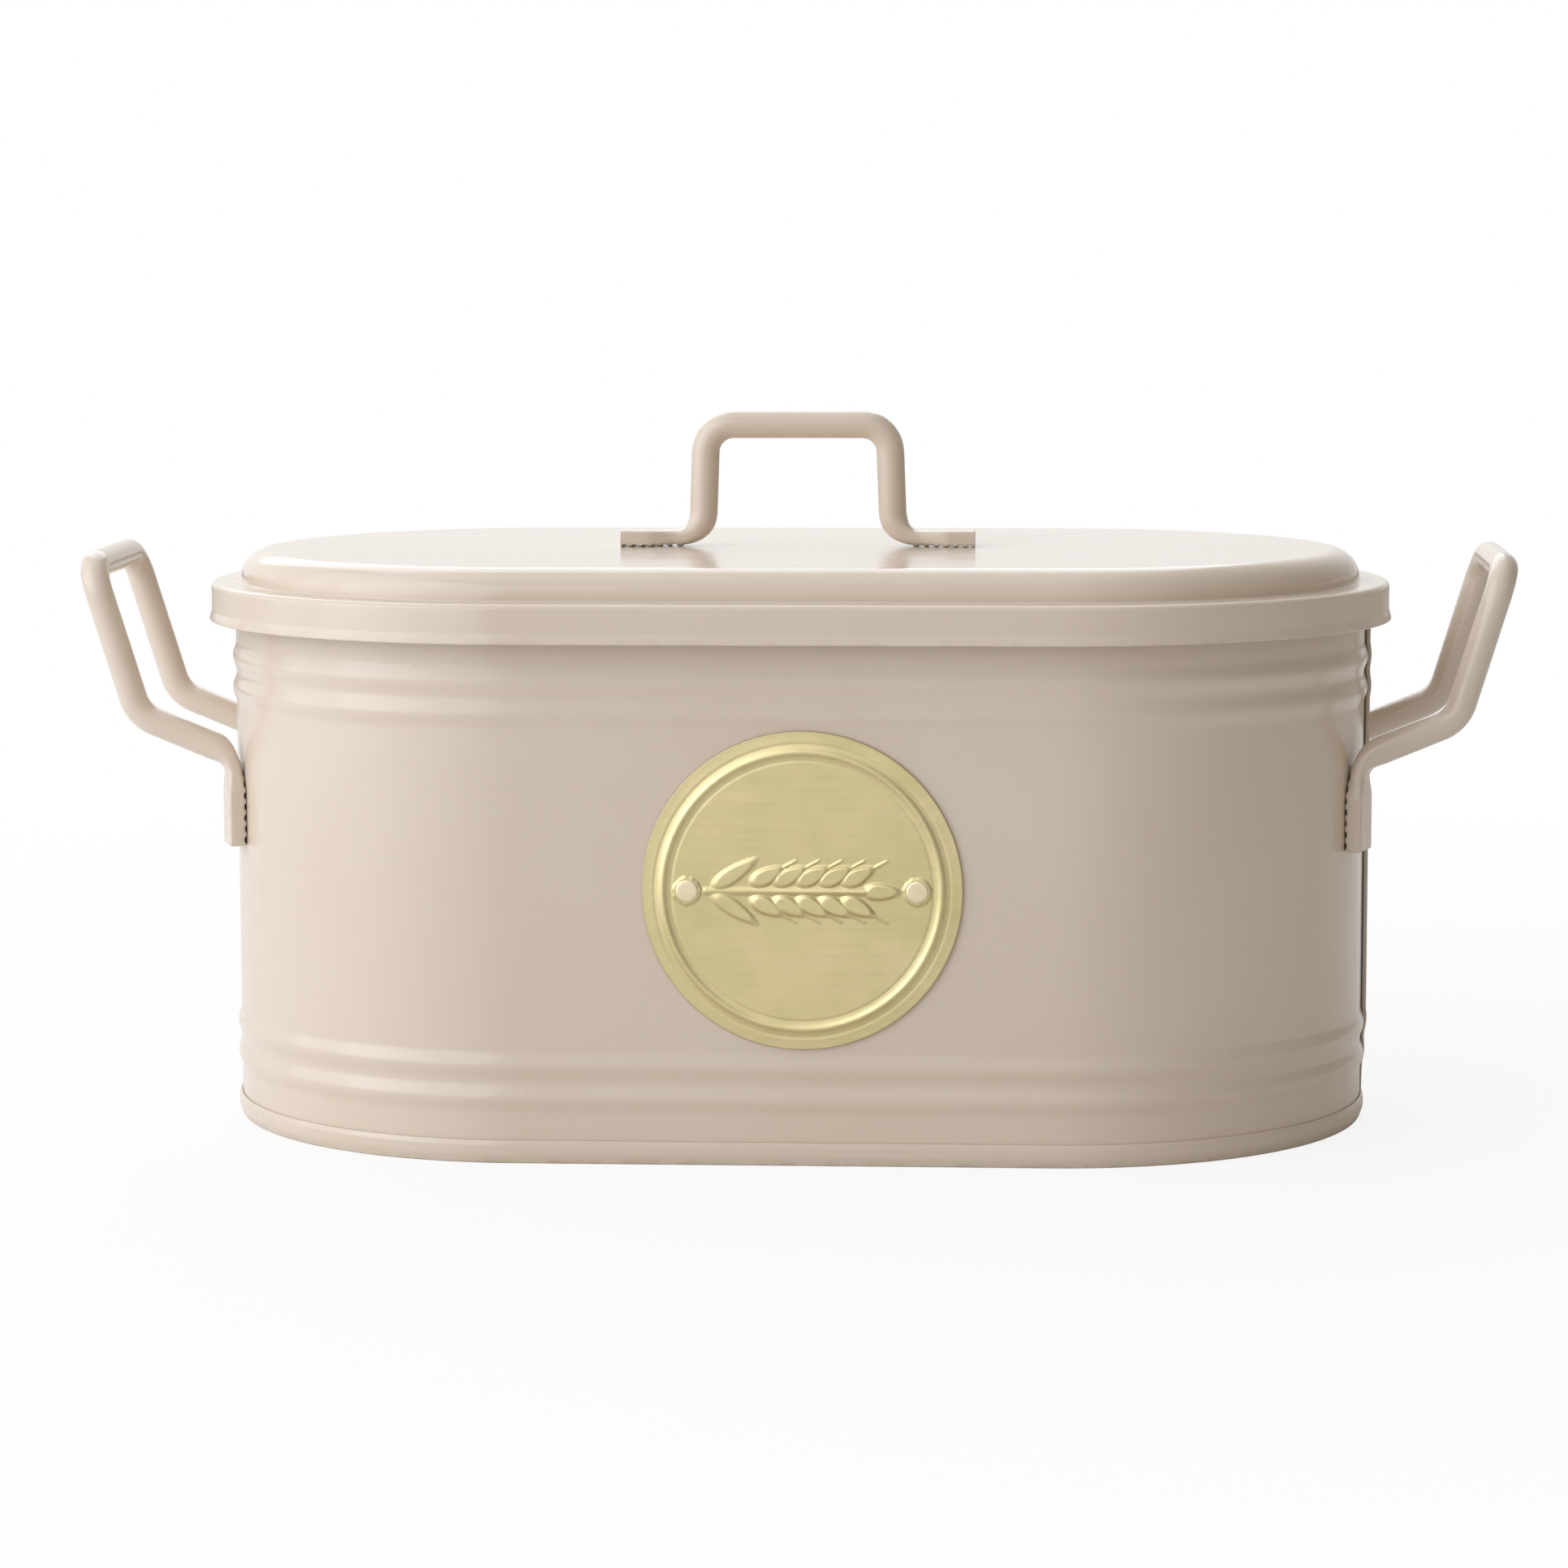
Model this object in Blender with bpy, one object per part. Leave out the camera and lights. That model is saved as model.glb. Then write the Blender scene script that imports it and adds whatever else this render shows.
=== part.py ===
# Bread bin: an oblong sheet-steel tin with a lift-off lid, two bent-rod side handles,
# a bent-rod lid handle and a round brass plate riveted to the front.
# Metres, +Z up. The bin stands on z = 0, +X is the long way and -Y is the front.
import math

import bmesh
import bpy
from mathutils import Matrix, Vector

# Body: one beaded sheet joined in a folded lock seam, with a curled rim
BODY_LENGTH = 0.337            # over the ends of the plain wall
BODY_DEPTH = 0.184             # front to back of the plain wall, and the ends' diameter
RIM_HEIGHT = 0.1590            # top of the curled rim
WALL_SHEET = 0.0007
RIM_CURL = 0.0056              # outside diameter of the curl
CURL_TURN = math.radians(300)  # how far the curl is rolled round
BEAD_HEIGHT = 0.0010
BEAD_WIDTH = 0.0088
LOWER_BEADS = (0.0188, 0.0281)  # heights above the table
UPPER_BEADS = (0.0304, 0.0212)  # distances below the top of the rim
SEAM_WIDTH = 0.0070
SEAM_RISE = 0.0017
SEAM_BEADS = 0.4               # share of the beads' height that shows on the seam
SEAM_STEP = 0.0002             # how far round the end the seam's edges take to rise
PIECE_GAP = 0.0003             # clearance between pieces that bear on each other

# Base: a dished panel folded round the foot of the wall
HEM_HEIGHT = 0.0086
PANEL_HEIGHT = 0.0066          # underside of the panel above the table
BASE_SHEET = 0.0007
FOLD_BEND = 0.0008
PANEL_BEND = 0.0016

# Lid: a shallow dome, a narrow flange and a skirt that hangs outside the rim
LID_SHEET = 0.0007
LID_FIT = 0.0013               # clearance between the skirt and the curled rim
SKIRT_DEPTH = 0.0111           # from the flange's top to the skirt's edge
SKIRT_FLARE = 0.0007           # the skirt's edge is rolled out by this much
SKIRT_ROLL = 0.0016            # and over this height
SKIRT_BEND = 0.0014
DOME_INSET = 0.0020            # foot of the dome inside the plain wall
DOME_HEIGHT = 0.0095
DOME_BEND = 0.0082
DOME_FOOT_BEND = 0.0012

# Handles: round rod with flattened feet
ROD = 0.0082
FOOT_THICK = 0.0046
FOOT_WIDE = 0.0120
FOOT_BLEND = 0.0060            # length over which a foot swells into round rod
FOOT_BLUNTNESS = 0.45          # 1 is an ellipse, and towards 0 the foot's section is a rectangle

ARM_SPACING = 0.0640           # between the two arms of a side handle
ARM_FOOT_DROP = 0.0757         # lower end of the feet below the top of the rim
ARM_BEND_DROP = 0.0490         # where an arm turns away from its foot
ARM_FOOT_BEND = 0.0065
ELBOW_REACH = 0.0250           # elbow beyond the end of the body
ELBOW_DROP = 0.0375
ELBOW_BEND = 0.0110
HAND_REACH = 0.0386            # hand bar beyond the end of the body
HAND_RISE = 0.0064             # and above the top of the rim
HAND_BEND = 0.0085

GRIP_HEIGHT = 0.0405           # top of the lid handle above the dome
GRIP_LEGS = 0.0545             # between its legs at the top
GRIP_SPLAY = 0.0012            # how far each leg leans out by its foot
GRIP_LENGTH = 0.1056           # over the ends of its feet
GRIP_BEND = 0.0073
GRIP_FOOT_BEND = 0.0056

# Brass plate and its two rivets
PLATE_DIAMETER = 0.0905
PLATE_SHEET = 0.0005
PLATE_SHIFT = 0.0062           # to the right of the front's middle
PLATE_RAISE = 0.00055          # its centre above the middle of the field between the beads
RING_INSET = 0.00585           # crest of the pressed ring inside the plate's edge
RING_WIDTH = 0.0056
RING_RISE = 0.0008
RIVET_INSET = 0.00695          # rivets inside the crest of the ring
RIVET_SHANK = 0.0036
RIVET_FIT = 0.0003             # clearance round a shank
RIVET_HEAD = 0.0077
RIVET_HEAD_THICK = 0.0009
RIVET_TAIL = 0.0066
RIVET_TAIL_THICK = 0.0008

# Facets
END_FACETS = 20
BEAD_FACETS = 4                # across a bead, and across the plate's ring
CURL_FACETS = 8
BEND_FACETS = 4
ROD_FACETS = 10
PLATE_FACETS = 40
RIVET_FACETS = 16
SMOOTH_ANGLE = math.radians(35)

# Sizes that follow
END_RADIUS = BODY_DEPTH / 2
HALF_STRAIGHT = BODY_LENGTH / 2 - END_RADIUS
FLANGE_TOP = RIM_HEIGHT + PIECE_GAP + LID_SHEET
LID_TOP = FLANGE_TOP + DOME_HEIGHT
WALL_FOOT = BASE_SHEET + 2 * PIECE_GAP
BEAD_HEIGHTS = LOWER_BEADS + tuple(RIM_HEIGHT - drop for drop in UPPER_BEADS)
SKIRT_REACH = RIM_CURL - WALL_SHEET + LID_FIT + LID_SHEET  # its outer face beyond the plain wall
RING_RADIUS = PLATE_DIAMETER / 2 - RING_INSET
RIVET_REACH = RING_RADIUS - RIVET_INSET                    # from the plate's centre
PLATE_HEIGHT = (LOWER_BEADS[-1] + RIM_HEIGHT - UPPER_BEADS[0]) / 2 + PLATE_RAISE
PLATE_PLACE = (Matrix.Translation((PLATE_SHIFT, -END_RADIUS - PIECE_GAP, PLATE_HEIGHT))
               @ Matrix.Rotation(math.pi / 2, 4, "X"))


def clear_scene():
    for item in list(bpy.data.objects):
        bpy.data.objects.remove(item, do_unlink=True)


def make_material(name, colour, roughness, metallic):
    material = bpy.data.materials.new(name)
    material.use_nodes = True
    shader = material.node_tree.nodes["Principled BSDF"]
    shader.inputs["Base Color"].default_value = (*colour, 1.0)
    shader.inputs["Roughness"].default_value = roughness
    shader.inputs["Metallic"].default_value = metallic
    return material


# Outlines, paths and surfaces

def bearing(angle):
    return Vector((math.cos(angle), math.sin(angle), 0))


def half_turn_angles(middle):
    """Angles of the facets' edges over half a turn about a middle angle."""
    return [middle + math.pi * (step / END_FACETS - 0.5) for step in range(END_FACETS + 1)]


def oblong():
    """Stations round the body: the centre of the nearer end, and the way out from there."""
    centre = Vector((HALF_STRAIGHT, 0, 0))
    right = [(centre, bearing(angle)) for angle in half_turn_angles(0)]
    left = [(-centre, bearing(angle)) for angle in half_turn_angles(math.pi)]
    return right + left


def circle(facets):
    """Stations round a circle about the origin."""
    return [(Vector(), bearing(2 * math.pi * step / facets)) for step in range(facets)]


def carry(run, station, radius):
    """Points of a run, x out and z up, carried to a station at a radius from its centre."""
    centre, way = station
    return [centre + way * (radius + point.x) + Vector((0, 0, point.z)) for point in run]


def rounded(corners, bends):
    """Path through the corners, with each inner corner turned into an arc of its radius."""
    path = [corners[0].copy()]
    for before, corner, after, radius in zip(corners, corners[1:], corners[2:], bends):
        run_in = (corner - before).normalized()
        run_out = (after - corner).normalized()
        turn = run_in.angle(run_out)
        centre = corner + (run_out - run_in).normalized() * (radius / math.cos(turn / 2))
        spoke = corner - run_in * (radius * math.tan(turn / 2)) - centre
        axis = run_in.cross(run_out)
        for step in range(BEND_FACETS + 1):
            path.append(centre + Matrix.Rotation(turn * step / BEND_FACETS, 3, axis) @ spoke)
    path.append(corners[-1].copy())
    return path


def sheet_faces(middle, thickness):
    """The left and the right face of a bent sheet whose middle runs along an x-z path."""
    left = []
    right = []
    runs = [(after - before).normalized() for before, after in zip(middle, middle[1:])]
    for point, run_in, run_out in zip(middle, runs[:1] + runs, runs + runs[-1:]):
        along = (run_in + run_out).normalized()
        reach = thickness / 2 / along.dot(run_in)
        side = Vector((-along.z, 0, along.x)) * reach
        left.append(point + side)
        right.append(point - side)
    return left, right


def skin(runs, closed):
    """Surface over neighbouring runs of points, wrapped round from the last to the first.

    A closed run meets itself; an open one has its first and last points capped.
    """
    mesh = bmesh.new()
    grid = [[mesh.verts.new(point) for point in run] for run in runs]
    length = len(grid[0])
    for run, beside in zip(grid, grid[1:] + grid[:1]):
        for k in range(length if closed else length - 1):
            after = (k + 1) % length
            mesh.faces.new((run[k], beside[k], beside[after], run[after]))
    if not closed:
        mesh.faces.new([run[0] for run in grid])
        mesh.faces.new([run[-1] for run in grid])
    bmesh.ops.recalc_face_normals(mesh, faces=mesh.faces)
    return mesh


def add_object(name, mesh, material, place=None):
    if place is not None:
        mesh.transform(place)
    data = bpy.data.meshes.new(name)
    mesh.to_mesh(data)
    mesh.free()
    data.shade_smooth()
    data.set_sharp_from_angle(angle=SMOOTH_ANGLE)
    data.materials.append(material)
    item = bpy.data.objects.new(name, data)
    bpy.context.scene.collection.objects.link(item)
    return item


def carried_sheet(middle, thickness, stations, radius):
    """A bent sheet carried round the stations and closed across its middle."""
    left, right = sheet_faces(middle, thickness)
    run = left + right[::-1]
    return skin([carry(run, station, radius) for station in stations], False)


def wave(width, height):
    """Places along a pressed ridge, from its middle, and its height there: one cosine wave."""
    shares = [step / BEAD_FACETS for step in range(BEAD_FACETS + 1)]
    return [(width * (share - 0.5), height * (0.5 - 0.5 * math.cos(2 * math.pi * share)))
            for share in shares]


# Rods

def rod_section(point, along, thin, swell):
    """Ring of points across the rod: a blunt oblong in a foot, growing into a circle."""
    wide = along.cross(thin)
    half_thin = (FOOT_THICK + (ROD - FOOT_THICK) * swell) / 2
    half_wide = (FOOT_WIDE + (ROD - FOOT_WIDE) * swell) / 2
    bluntness = FOOT_BLUNTNESS + (1 - FOOT_BLUNTNESS) * swell
    flat = math.cos(math.pi / ROD_FACETS) ** (bluntness * (1 - swell))
    ring = []
    for step in range(ROD_FACETS):
        angle = 2 * math.pi * (step + 0.5) / ROD_FACETS
        across = math.copysign(abs(math.cos(angle)) ** bluntness, math.cos(angle)) / flat
        level = math.copysign(abs(math.sin(angle)) ** bluntness, math.sin(angle))
        ring.append(point + thin * (half_thin * across) + wide * (half_wide * level))
    return ring


def bent_rod(half_path, foot_thin, mirror):
    """Rod along half a path, from a flattened foot to its middle, and along its mirror image."""
    thin = foot_thin
    travelled = 0.0
    foot_length = (half_path[1] - half_path[0]).length
    befores = half_path[:1] + half_path[:-1]
    afters = half_path[1:] + [mirror @ half_path[-2]]
    sections = []
    for before, point, after in zip(befores, half_path, afters):
        along = (after - before).normalized()
        thin = (thin - along * thin.dot(along)).normalized()
        travelled += (point - before).length
        share = min(max((travelled - foot_length) / FOOT_BLEND, 0.0), 1.0)
        swell = share * share * (3 - 2 * share)
        sections.append(rod_section(point, along, thin, swell))
    sections += [[mirror @ point for point in ring] for ring in reversed(sections[:-1])]
    return skin([list(run) for run in zip(*sections)], False)


# Pieces

def wall_middle():
    """Middle of the wall's sheet from its foot to the end of the curl.

    Its second value tells which of its points lie where the lock seam can stand proud.
    """
    seam_foot = HEM_HEIGHT + PIECE_GAP
    seam_top = RIM_HEIGHT - RIM_CURL - PIECE_GAP
    points = [Vector((0, 0, WALL_FOOT)), Vector((0, 0, seam_foot)),
              Vector((0, 0, seam_foot + SEAM_STEP))]
    for height in BEAD_HEIGHTS:
        points += [Vector((rise, 0, height + along))
                   for along, rise in wave(BEAD_WIDTH, BEAD_HEIGHT)]
    points += [Vector((0, 0, seam_top - SEAM_STEP)), Vector((0, 0, seam_top))]
    on_seam = [False, False] + [True] * (len(points) - 3) + [False] * (CURL_FACETS + 2)
    radius = (RIM_CURL - WALL_SHEET) / 2
    centre = Vector((radius, 0, RIM_HEIGHT - RIM_CURL / 2))
    for step in range(CURL_FACETS + 1):
        angle = math.pi - CURL_TURN * step / CURL_FACETS
        points.append(centre + Vector((math.cos(angle), 0, math.sin(angle))) * radius)
    middle = [point - Vector((WALL_SHEET / 2, 0, 0)) for point in points]
    return middle, on_seam


def wall_stations():
    """Stations round the wall, each with whether it lies on the lock seam of the +X end."""
    edge = SEAM_WIDTH / 2 / END_RADIUS
    foot = edge + SEAM_STEP / END_RADIUS
    facet = math.pi / END_FACETS
    seam_angles = [-foot, -edge, 0.0, edge, foot]
    angles = [angle for angle in half_turn_angles(0) if abs(angle) > foot + facet / 4]
    centre = Vector((HALF_STRAIGHT, 0, 0))
    right = [((centre, bearing(angle)), abs(angle) <= edge)
             for angle in sorted(angles + seam_angles)]
    left = [((-centre, bearing(angle)), False) for angle in half_turn_angles(math.pi)]
    return right + left


def side_wall(material, hole_cutters):
    middle, can_rise = wall_middle()
    inner, outer = sheet_faces(middle, WALL_SHEET)
    flattened = Vector((1 - SEAM_BEADS, 0, 0))
    raised = [point + Vector((SEAM_RISE, 0, 0)) - flattened * point.x if rises else point
              for point, rises in zip(outer, can_rise)]
    runs = []
    for station, on_seam in wall_stations():
        run = inner + (raised if on_seam else outer)[::-1]
        runs.append(carry(run, station, END_RADIUS))
    wall = add_object("side_wall", skin(runs, True), material)
    cut_holes(wall, hole_cutters)


def base_pan(material):
    inside = -WALL_SHEET - PIECE_GAP - BASE_SHEET / 2
    outside = PIECE_GAP + BASE_SHEET / 2
    panel = PANEL_HEIGHT + BASE_SHEET / 2
    foot = BASE_SHEET / 2
    corners = [Vector((inside - 2 * PANEL_BEND, 0, panel)), Vector((inside, 0, panel)),
               Vector((inside, 0, foot)), Vector((outside, 0, foot)),
               Vector((outside, 0, HEM_HEIGHT))]
    middle = rounded(corners, (PANEL_BEND, FOLD_BEND, FOLD_BEND))
    stations = [station for station, on_seam in wall_stations()]
    add_object("base_pan", carried_sheet(middle, BASE_SHEET, stations, END_RADIUS), material)


def lid_shell(material):
    half_sheet = LID_SHEET / 2
    top = LID_TOP - half_sheet
    flange = FLANGE_TOP - half_sheet
    edge = FLANGE_TOP - SKIRT_DEPTH
    dome = -DOME_INSET - half_sheet
    skirt = SKIRT_REACH - half_sheet
    corners = [Vector((dome - 2 * DOME_BEND, 0, top)), Vector((dome, 0, top)),
               Vector((dome, 0, flange)), Vector((skirt, 0, flange)),
               Vector((skirt, 0, edge + SKIRT_ROLL))]
    middle = rounded(corners, (DOME_BEND, DOME_FOOT_BEND, SKIRT_BEND))
    middle.append(Vector((skirt + SKIRT_FLARE, 0, edge)))
    add_object("lid_shell", carried_sheet(middle, LID_SHEET, oblong(), END_RADIUS), material)


def side_handle(name, end, material):
    """A handle on the end of the body at +X (end 1) or -X (end -1)."""
    foot_radius = END_RADIUS + PIECE_GAP + FOOT_THICK / 2
    turn = math.asin(ARM_SPACING / 2 / foot_radius)
    foot_reach = HALF_STRAIGHT + foot_radius * math.cos(turn)
    elbow_reach = BODY_LENGTH / 2 + ELBOW_REACH
    hand_reach = BODY_LENGTH / 2 + HAND_REACH
    front = -ARM_SPACING / 2
    hand_height = RIM_HEIGHT + HAND_RISE
    corners = [Vector((foot_reach, front, RIM_HEIGHT - ARM_FOOT_DROP)),
               Vector((foot_reach, front, RIM_HEIGHT - ARM_BEND_DROP)),
               Vector((elbow_reach, front, RIM_HEIGHT - ELBOW_DROP)),
               Vector((hand_reach, front, hand_height)),
               Vector((hand_reach, 0, hand_height))]
    half_path = rounded(corners, (ARM_FOOT_BEND, ELBOW_BEND, HAND_BEND))
    foot_thin = Vector((math.cos(turn), -math.sin(turn), 0))
    mesh = bent_rod(half_path, foot_thin, Matrix.Diagonal((1, -1, 1)))
    if end < 0:
        mesh.transform(Matrix.Diagonal((-1, 1, 1, 1)))
        bmesh.ops.reverse_faces(mesh, faces=mesh.faces)
    add_object(name, mesh, material)


def lid_handle(material):
    foot_height = LID_TOP + PIECE_GAP + FOOT_THICK / 2
    top = LID_TOP + GRIP_HEIGHT - ROD / 2
    corners = [Vector((-GRIP_LENGTH / 2, 0, foot_height)),
               Vector((-GRIP_LEGS / 2 - GRIP_SPLAY, 0, foot_height)),
               Vector((-GRIP_LEGS / 2, 0, top)), Vector((0, 0, top))]
    half_path = rounded(corners, (GRIP_FOOT_BEND, GRIP_BEND))
    mesh = bent_rod(half_path, Vector((0, 0, 1)), Matrix.Diagonal((-1, 1, 1)))
    add_object("lid_handle", mesh, material)


def medallion(material, hole_cutters):
    """Thin round plate with a raised ring, its back towards the wall."""
    half_sheet = PLATE_SHEET / 2
    middle = [Vector((RING_RADIUS + across, 0, half_sheet + rise))
              for across, rise in wave(RING_WIDTH, RING_RISE)]
    middle.append(Vector((PLATE_DIAMETER / 2, 0, half_sheet)))
    mesh = carried_sheet(middle, PLATE_SHEET, circle(PLATE_FACETS), 0)
    plate = add_object("medallion", mesh, material, PLATE_PLACE)
    cut_holes(plate, hole_cutters)


def rivet_place(side):
    return PLATE_PLACE @ Matrix.Translation((side * RIVET_REACH, 0, 0))


def rivet(name, side, material):
    """Head in front of the plate, shank through plate and wall, tail spread inside."""
    under_head = PLATE_SHEET + PIECE_GAP
    head_top = under_head + RIVET_HEAD_THICK
    over_tail = -PIECE_GAP - WALL_SHEET - PIECE_GAP
    tail_end = over_tail - RIVET_TAIL_THICK
    head = RIVET_HEAD / 2
    shank = RIVET_SHANK / 2
    tail = RIVET_TAIL / 2
    soften = RIVET_HEAD_THICK / 2
    run = [Vector((head - soften, 0, head_top)), Vector((head, 0, head_top - soften)),
           Vector((head, 0, under_head)), Vector((shank, 0, under_head)),
           Vector((shank, 0, over_tail)), Vector((tail, 0, over_tail)),
           Vector((tail, 0, tail_end))]
    mesh = skin([carry(run, station, 0) for station in circle(RIVET_FACETS)], False)
    add_object(name, mesh, material, rivet_place(side))


def rivet_hole_cutter(name, side):
    """Guide that drills the plate and the wall for one rivet."""
    mesh = bmesh.new()
    radius = RIVET_SHANK / 2 + RIVET_FIT
    bmesh.ops.create_cone(mesh, cap_ends=True, segments=RIVET_FACETS, radius1=radius,
                          radius2=radius, depth=4 * RIVET_HEAD)
    mesh.transform(rivet_place(side))
    data = bpy.data.meshes.new(name)
    mesh.to_mesh(data)
    mesh.free()
    cutter = bpy.data.objects.new(name, data)
    cutter.hide_render = True
    cutter.display_type = "WIRE"
    bpy.context.scene.collection.objects.link(cutter)
    return cutter


def cut_holes(item, cutters):
    for cutter in cutters:
        cut = item.modifiers.new(cutter.name, "BOOLEAN")
        cut.operation = "DIFFERENCE"
        cut.solver = "EXACT"
        cut.object = cutter


def main():
    clear_scene()
    enamel = make_material("enamel", (0.62, 0.51, 0.40), 0.30, 0.0)
    brass = make_material("brass", (0.62, 0.53, 0.28), 0.36, 1.0)
    rivet_finish = make_material("rivet", (0.66, 0.60, 0.42), 0.40, 1.0)
    sides = {"left": -1, "right": 1}
    cutters = [rivet_hole_cutter(f"rivet_hole_{word}", side) for word, side in sides.items()]
    side_wall(enamel, cutters)
    base_pan(enamel)
    lid_shell(enamel)
    lid_handle(enamel)
    medallion(brass, cutters)
    for word, side in sides.items():
        side_handle(f"handle_{word}", side, enamel)
        rivet(f"rivet_{word}", side, rivet_finish)


main()
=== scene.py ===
import math

import bmesh
import bpy
import numpy as np
from mathutils import Matrix, Vector


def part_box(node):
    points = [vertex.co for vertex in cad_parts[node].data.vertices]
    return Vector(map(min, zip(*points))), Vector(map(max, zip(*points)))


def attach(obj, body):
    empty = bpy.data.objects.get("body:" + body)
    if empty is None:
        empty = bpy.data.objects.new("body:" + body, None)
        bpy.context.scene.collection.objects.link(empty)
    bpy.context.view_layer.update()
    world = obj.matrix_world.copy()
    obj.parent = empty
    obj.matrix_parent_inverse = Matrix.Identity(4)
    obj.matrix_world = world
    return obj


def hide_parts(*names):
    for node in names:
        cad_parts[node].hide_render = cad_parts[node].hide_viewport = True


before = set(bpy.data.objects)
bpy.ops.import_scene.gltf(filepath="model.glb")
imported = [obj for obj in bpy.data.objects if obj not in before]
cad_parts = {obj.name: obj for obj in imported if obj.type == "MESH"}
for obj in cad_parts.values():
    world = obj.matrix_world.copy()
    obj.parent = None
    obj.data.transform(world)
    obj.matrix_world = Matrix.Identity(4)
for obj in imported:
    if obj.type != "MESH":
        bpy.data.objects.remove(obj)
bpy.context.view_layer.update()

# The looks of an oblong bread bin in sheet steel: a beaded wall with a lock seam, a base
# folded round its foot, a domed lid, bent-rod handles and a round brass plate.
# Metres, +Z up, -Y is the front. Every place comes from the frame's own boxes.

baseLow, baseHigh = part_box("base_pan")
wallLow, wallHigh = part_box("side_wall")
lidLow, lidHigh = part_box("lid_shell")
gripLow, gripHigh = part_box("lid_handle")
plateLow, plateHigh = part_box("medallion")

sheetThick = 0.0007
pieceGap = 0.0003  # what the CAD leaves between two pieces
endRadius = baseHigh.y - pieceGap - sheetThick  # plan radius of the plain wall's ends
halfStraight = baseHigh.x - baseHigh.y  # from the middle to the centre of an end
weldDistance = 1e-6


# Numbers and outlines

# Smooth step: 0 up to the start, 1 from the end on, and 3t^2 - 2t^3 between them
def smoothStep(values, start=0.0, end=1.0):
    share = np.clip((values - start) / (end - start), 0.0, 1.0)
    return share * share * (3 - 2 * share)


# Each vector divided by its own length
def unit(vectors):
    return vectors / np.linalg.norm(vectors, axis=-1, keepdims=True)


# Path through the corners, with each inner corner replaced by an arc that touches both runs:
# the arc's centre lies radius / cos(turn / 2) from the corner, on the line that halves it
def roundedPath(corners, bends, steps=14):
    corners = np.array(corners, float)
    points = [corners[:1]]
    for before, corner, after, radius in zip(corners, corners[1:], corners[2:], bends):
        runIn = unit(corner - before)
        runOut = unit(after - corner)
        turn = math.acos(np.clip(runIn @ runOut, -1, 1))
        inward = unit(runOut - runIn)
        along = unit(runIn + runOut)
        centre = corner + inward * radius / math.cos(turn / 2)
        angles = np.linspace(-turn / 2, turn / 2, steps + 1)[:, None]
        points.append(centre + radius * (np.sin(angles) * along - np.cos(angles) * inward))
    points.append(corners[-1:])
    return np.concatenate(points)


# Distance travelled along a path at each of its points
def travelled(path):
    steps = np.linalg.norm(np.diff(path, axis=0), axis=1)
    return np.concatenate([[0.0], np.cumsum(steps)])


# Points of a path at the given distances along it
def resample(path, places):
    lengths = travelled(path)
    return np.stack([np.interp(places, lengths, path[:, k]) for k in range(path.shape[1])], 1)


# Adds points so that no step of a path is longer than the limit
def refined(path, limit):
    lengths = travelled(path)
    parts = [np.linspace(start, end, max(1, math.ceil((end - start) / limit)), endpoint=False)
             for start, end in zip(lengths, lengths[1:])]
    return resample(path, np.concatenate(parts + [lengths[-1:]]))


# Section of a bent sheet: its middle moved half the thickness to its right and to its left,
# along lines that halve the corners, with half circles round the cut edges.
# Gives the outline and, for each of its points, whether it is on the right-hand face.
def sheetSection(middle, thickness, roundStart=True, steps=6):
    runs = unit(np.diff(middle, axis=0))
    runIn = np.concatenate([runs[:1], runs])
    runOut = np.concatenate([runs, runs[-1:]])
    along = unit(runIn + runOut)
    normal = np.stack([along[:, 1], -along[:, 0]], 1)
    reach = thickness / 2 / np.sum(along * runIn, axis=1, keepdims=True)
    right = middle + normal * reach
    left = middle - normal * reach
    angles = np.linspace(0, math.pi, steps + 1)[1:-1, None]
    endCap = middle[-1] + thickness / 2 * (np.cos(angles) * normal[-1] + np.sin(angles) * along[-1])
    startCap = middle[0] - thickness / 2 * (np.cos(angles) * normal[0] + np.sin(angles) * along[0])
    parts = [right, endCap, left[::-1]] + ([startCap] if roundStart else [])
    onRight = np.zeros(sum(len(part) for part in parts), bool)
    onRight[:len(right)] = True
    return np.concatenate(parts), onRight


# Stations round the oblong plan, anticlockwise from the front of the right end.
# Each is the centre that it turns about and the way out from there; the straights have
# stations too, whose centres slide along the middle line.
def oblongStations(rightAngles, leftAngles, straightSteps):
    places = halfStraight * (1 - 2 * np.arange(1, straightSteps) / straightSteps)
    blank = np.zeros_like(places)
    rightEnd = np.stack([np.full_like(rightAngles, halfStraight), np.cos(rightAngles),
                         np.sin(rightAngles)], 1)
    back = np.stack([places, blank, blank + 1], 1)
    leftEnd = np.stack([np.full_like(leftAngles, -halfStraight), -np.cos(leftAngles),
                        -np.sin(leftAngles)], 1)
    front = np.stack([-places, blank, blank - 1], 1)
    stations = np.concatenate([rightEnd, back, leftEnd, front])
    centres = np.stack([stations[:, 0], np.zeros(len(stations))], 1)
    return centres, stations[:, 1:]


# Angles of a half circle, from a quarter turn back to a quarter turn on
def halfTurn(steps):
    return np.linspace(-math.pi / 2, math.pi / 2, steps + 1)


# A section carried round the plan: centre + way out * (end radius + offset), at its height
def carriedGrid(section, stations, extraOffset=0.0):
    centres, ways = stations
    shape = len(centres), len(section)
    reach = np.broadcast_to(endRadius + section[None, :, 0] + extraOffset, shape)
    height = np.broadcast_to(section[None, :, 1], shape)
    flat = centres[:, None, :] + ways[:, None, :] * reach[:, :, None]
    return np.concatenate([flat, height[:, :, None]], 2)


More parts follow.
